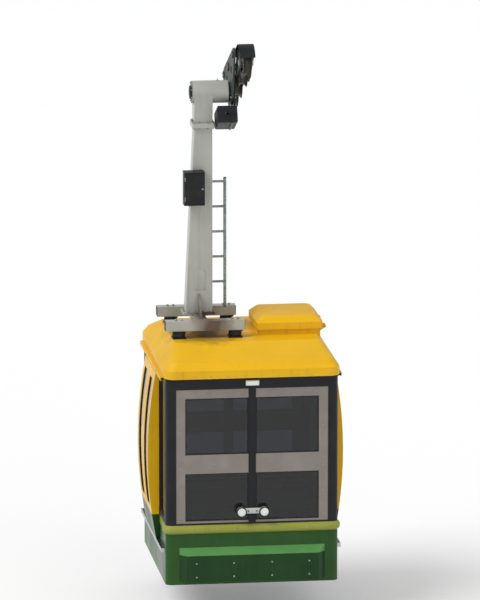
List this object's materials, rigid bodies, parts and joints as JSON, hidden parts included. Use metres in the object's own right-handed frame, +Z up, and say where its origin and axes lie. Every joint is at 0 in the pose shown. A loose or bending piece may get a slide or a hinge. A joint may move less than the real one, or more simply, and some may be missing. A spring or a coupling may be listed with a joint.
{
  "type": "cable car cabin",
  "caption": "Small passenger cabin with glazed ends and sliding side doors, hung by a one-sided hanger from a wheeled carriage on a sloping track rope.",
  "frame": {"origin": "on the track rope's axis at the middle of the carriage, which is also on the hanger's swing axis", "axes": "+Z up, Y along the travel in plan with the rope rising towards -Y, X across the rope with the hanger column on the -X side"},
  "size_m": [2.164, 2.28, 5.8859],
  "materials": {
    "anthracite_paint": "satin",
    "bare_aluminium": "satin",
    "black_paint": "satin",
    "carriage_paint": "satin",
    "dark_steel": "satin",
    "floor": "matte",
    "galvanised": "satin",
    "glazing": "gloss",
    "green_paint": "satin",
    "grey_aluminium": "satin",
    "grey_paint": "satin",
    "lamp_housing": "gloss",
    "rubber": "matte",
    "stainless": "satin",
    "wheel_steel": "satin",
    "white_panel": "satin",
    "wood": "satin",
    "yellow_paint": "gloss"
  },
  "bodies": {
    "carriage": {"beam_plate_left": "carriage_paint", "beam_plate_right": "carriage_paint", "carriage_pins": "dark_steel", "haul_rope_arm": "black_paint", "haul_rope_clamp": "black_paint"},
    "rocker_up": {"rocker_up": "carriage_paint", "wheel_cover_up": "black_paint"},
    "rocker_down": {"rocker_down": "carriage_paint", "wheel_cover_down": "black_paint"},
    "wheel_up_outer": {"wheel_up_outer": "wheel_steel", "wheel_flanges_up_outer": "wheel_steel"},
    "wheel_up_inner": {"wheel_up_inner": "wheel_steel", "wheel_flanges_up_inner": "wheel_steel"},
    "wheel_down_outer": {"wheel_down_outer": "wheel_steel", "wheel_flanges_down_outer": "wheel_steel"},
    "wheel_down_inner": {"wheel_down_inner": "wheel_steel", "wheel_flanges_down_inner": "wheel_steel"},
    "door_left_up": {"door_left_up": "yellow_paint", "door_left_up_pane": "glazing"},
    "door_left_down": {"door_left_down": "yellow_paint", "door_left_down_pane": "glazing"},
    "door_right_up": {"door_right_up": "yellow_paint", "door_right_up_pane": "glazing"},
    "door_right_down": {"door_right_down": "yellow_paint", "door_right_down_pane": "glazing"},
    "hatch_lid": {"hatch_lid": "yellow_paint"},
    "hanger_and_cabin": {"bench_brackets": "dark_steel", "bench_slats": "wood", "brake_box": "black_paint", "bumpers": "green_paint", "ceiling_panel": "white_panel", "corner_posts": "anthracite_paint", "door_rails": "yellow_paint", "door_sills": "bare_aluminium", "end_aprons": "green_paint", "end_belts": "yellow_paint", "end_frames": "grey_aluminium", "end_lamps": "lamp_housing", "end_panes": "glazing", "end_surrounds": "anthracite_paint", "floor_panel": "floor", "handrails": "stainless", "hanger_column": "grey_paint", "hanger_foot": "grey_paint", "hanger_head": "grey_paint", "hatch_coaming": "yellow_paint", "ladder": "galvanised", "roof_shell": "yellow_paint", "rubber_mounts": "rubber", "side_aprons": "green_paint", "side_belts": "yellow_paint", "side_panes": "glazing", "side_surrounds": "anthracite_paint", "underframe": "dark_steel"}
  },
  "joints": [
    {"name": "hanger_swing", "type": "hinge", "parent": "carriage", "child": "hanger_and_cabin", "pos_m": [-0.335, 0, 0], "axis": [1, 0, 0], "range_deg": [-45, 35]},
    {"name": "rocker_up_tilt", "type": "hinge", "parent": "carriage", "child": "rocker_up", "pos_m": [0, -0.26293, 0.45362], "axis": [1, 0, 0], "range_deg": [-12, 12]},
    {"name": "wheel_up_outer_spin", "type": "hinge", "parent": "rocker_up", "child": "wheel_up_outer", "pos_m": [0, -0.48976, 0.40492], "axis": [1, 0, 0], "continuous": true},
    {"name": "wheel_up_inner_spin", "type": "hinge", "parent": "rocker_up", "child": "wheel_up_inner", "pos_m": [0, -0.15443, 0.24855], "axis": [1, 0, 0], "continuous": true},
    {"name": "rocker_down_tilt", "type": "hinge", "parent": "carriage", "child": "rocker_down", "pos_m": [0, 0.5165, 0.09017], "axis": [1, 0, 0], "range_deg": [-12, 12]},
    {"name": "wheel_down_outer_spin", "type": "hinge", "parent": "rocker_down", "child": "wheel_down_outer", "pos_m": [0, 0.625, -0.1149], "axis": [1, 0, 0], "continuous": true},
    {"name": "wheel_down_inner_spin", "type": "hinge", "parent": "rocker_down", "child": "wheel_down_inner", "pos_m": [0, 0.28966, 0.04147], "axis": [1, 0, 0], "continuous": true},
    {"name": "door_left_up_slide", "type": "slide", "parent": "hanger_and_cabin", "child": "door_left_up", "axis": [0, -1, 0], "range_m": [0, 0.42]},
    {"name": "door_left_down_slide", "type": "slide", "parent": "hanger_and_cabin", "child": "door_left_down", "axis": [0, 1, 0], "range_m": [0, 0.42]},
    {"name": "door_right_up_slide", "type": "slide", "parent": "hanger_and_cabin", "child": "door_right_up", "axis": [0, -1, 0], "range_m": [0, 0.42]},
    {"name": "door_right_down_slide", "type": "slide", "parent": "hanger_and_cabin", "child": "door_right_down", "axis": [0, 1, 0], "range_m": [0, 0.42]},
    {"name": "hatch_lid_hinge", "type": "hinge", "parent": "hanger_and_cabin", "child": "hatch_lid", "pos_m": [0.905, 0, -2.596], "axis": [0, 1, 0], "range_deg": [0, 100]}
  ],
  "couplings": [
    {"joint": "door_left_down_slide", "follows": "door_left_up_slide", "ratio": 1},
    {"joint": "door_right_down_slide", "follows": "door_right_up_slide", "ratio": 1}
  ]
}
